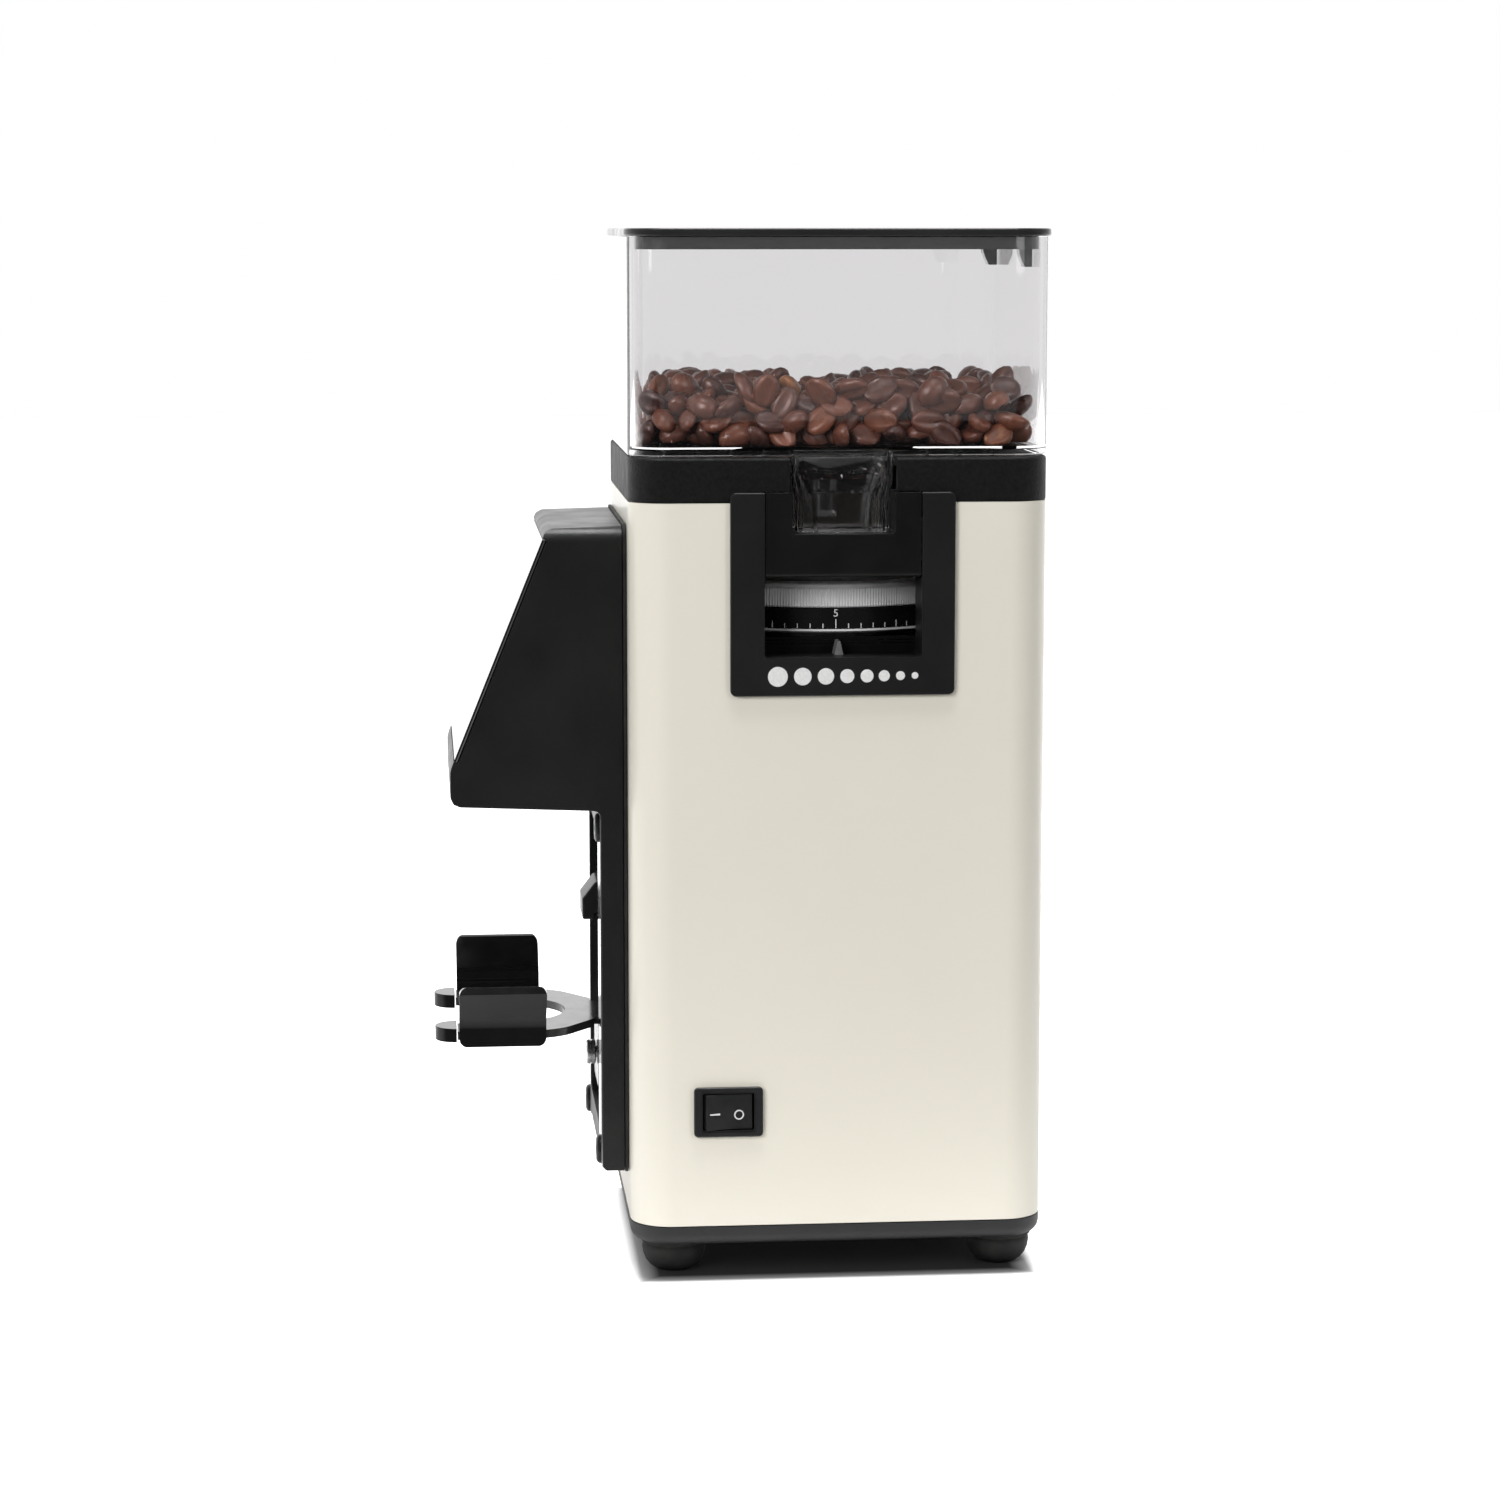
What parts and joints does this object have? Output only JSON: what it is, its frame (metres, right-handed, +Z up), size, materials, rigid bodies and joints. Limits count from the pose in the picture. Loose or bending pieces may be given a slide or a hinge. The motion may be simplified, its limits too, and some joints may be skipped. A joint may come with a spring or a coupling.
{
  "type": "burr coffee grinder",
  "caption": "Upright burr coffee grinder: painted square housing, clear bean hopper with lid, side adjusting ring, sloping front head and a fork for a filter holder.",
  "frame": {"origin": "centre of the whole footprint, from the fork tips to the rear, at table level", "axes": "+Z up, -Y to the front where the fork and head are, +X towards the side with the adjusting ring and the switch"},
  "size_m": [0.1377, 0.2092, 0.358],
  "materials": {
    "rubber": "matt",
    "black_plastic": "finely textured moulding",
    "black_screw": "black oxide",
    "cream_paint": "satin powder coat",
    "gloss_black": "high gloss",
    "circuit_board": "solder mask",
    "inner_plastic": "plain moulding",
    "white_plastic": "plain moulding",
    "steel": "bright",
    "knurled_aluminium": "straight knurl",
    "black_anodised": "black anodised",
    "cast_aluminium": "as cast",
    "hard_steel": "ground",
    "lamination": "stacked sheet",
    "copper": "enamelled wire",
    "clear_plastic": "polished clear moulding"
  },
  "bodies": {
    "housing": {"foot_1": "rubber", "foot_2": "rubber", "foot_3": "rubber", "foot_4": "rubber", "cord_gland": "rubber", "base_tray": "black_plastic", "housing_shell": "cream_paint", "front_gasket": "rubber", "front_cover": "black_plastic", "display_panel": "gloss_black", "control_board": "circuit_board", "ground_chute": "steel", "cover_screw_1": "black_screw", "cover_screw_2": "black_screw", "cover_screw_3": "black_screw", "cover_screw_4": "black_screw", "microswitch": "inner_plastic", "dial_surround": "black_plastic", "spout_block": "black_plastic", "neck_collar": "black_plastic", "power_switch_body": "black_plastic", "grinding_chamber": "cast_aluminium", "mounting_plate": "steel", "frame_post_1": "steel", "frame_post_2": "steel", "frame_post_3": "steel", "frame_post_4": "steel", "run_capacitor": "white_plastic", "terminal_block": "white_plastic", "stator_core": "lamination", "upper_winding": "copper", "lower_winding": "copper", "upper_end_shield": "cast_aluminium", "lower_end_shield": "cast_aluminium", "upper_bearing": "hard_steel", "lower_bearing": "hard_steel"},
    "rotor": {"motor_shaft": "hard_steel", "rotor_core": "lamination", "cooling_fan": "inner_plastic", "lower_burr_carrier": "cast_aluminium", "lower_burr": "hard_steel", "feed_nut": "hard_steel"},
    "adjuster": {"knurled_ring": "knurled_aluminium", "scale_ring": "black_anodised"},
    "burr_holder": {"upper_burr_carrier": "cast_aluminium", "upper_burr": "hard_steel"},
    "switch_rocker": {"rocker": "black_plastic"},
    "trip_tab": {"activation_tab": "black_plastic"},
    "fork": {"fork_plate": "steel", "fork_cheek_right": "gloss_black", "fork_cheek_left": "gloss_black", "fork_tip_right": "gloss_black", "fork_tip_left": "gloss_black", "clamp_nut": "steel"},
    "clamp": {"thumb_screw": "steel"},
    "bean_hopper": {"hopper": "clear_plastic"},
    "hopper_lid": {"lid": "black_plastic"}
  },
  "joints": [
    {"name": "motor_spin", "type": "hinge", "parent": "housing", "child": "rotor", "pos_m": [0, 0.033, 0.19], "axis": [0, 0, 1], "continuous": true},
    {"name": "ring_turn", "type": "hinge", "parent": "housing", "child": "adjuster", "pos_m": [0, 0.033, 0.23], "axis": [0, 0, 1], "range_deg": [-50, 250]},
    {"name": "burr_feed", "type": "slide", "parent": "housing", "child": "burr_holder", "axis": [0, 0, 1], "range_m": [-0.00021, 0.00104]},
    {"name": "switch_tilt", "type": "hinge", "parent": "housing", "child": "switch_rocker", "pos_m": [0.0663, -0.0052, 0.0599], "axis": [0, 0, -1], "range_deg": [0, 18]},
    {"name": "tab_push", "type": "slide", "parent": "housing", "child": "trip_tab", "axis": [0, 1, 0], "range_m": [0, 0.004], "stiffness_N_per_m": 600},
    {"name": "fork_height", "type": "slide", "parent": "housing", "child": "fork", "axis": [0, 0, 1], "range_m": [-0.008, 0.02]},
    {"name": "clamp_turn", "type": "hinge", "parent": "fork", "child": "clamp", "pos_m": [0, -0.047, 0.067], "axis": [0, 1, 0], "range_deg": [0, 360]},
    {"name": "hopper_lift", "type": "slide", "parent": "housing", "child": "bean_hopper", "axis": [0, 0, 1], "range_m": [0, 0.06]},
    {"name": "lid_lift", "type": "slide", "parent": "bean_hopper", "child": "hopper_lid", "axis": [0, 0, 1], "range_m": [0, 0.04]}
  ],
  "couplings": [
    {"joint": "ring_turn", "follows": "burr_feed", "rad_per_m": 4188.8}
  ]
}
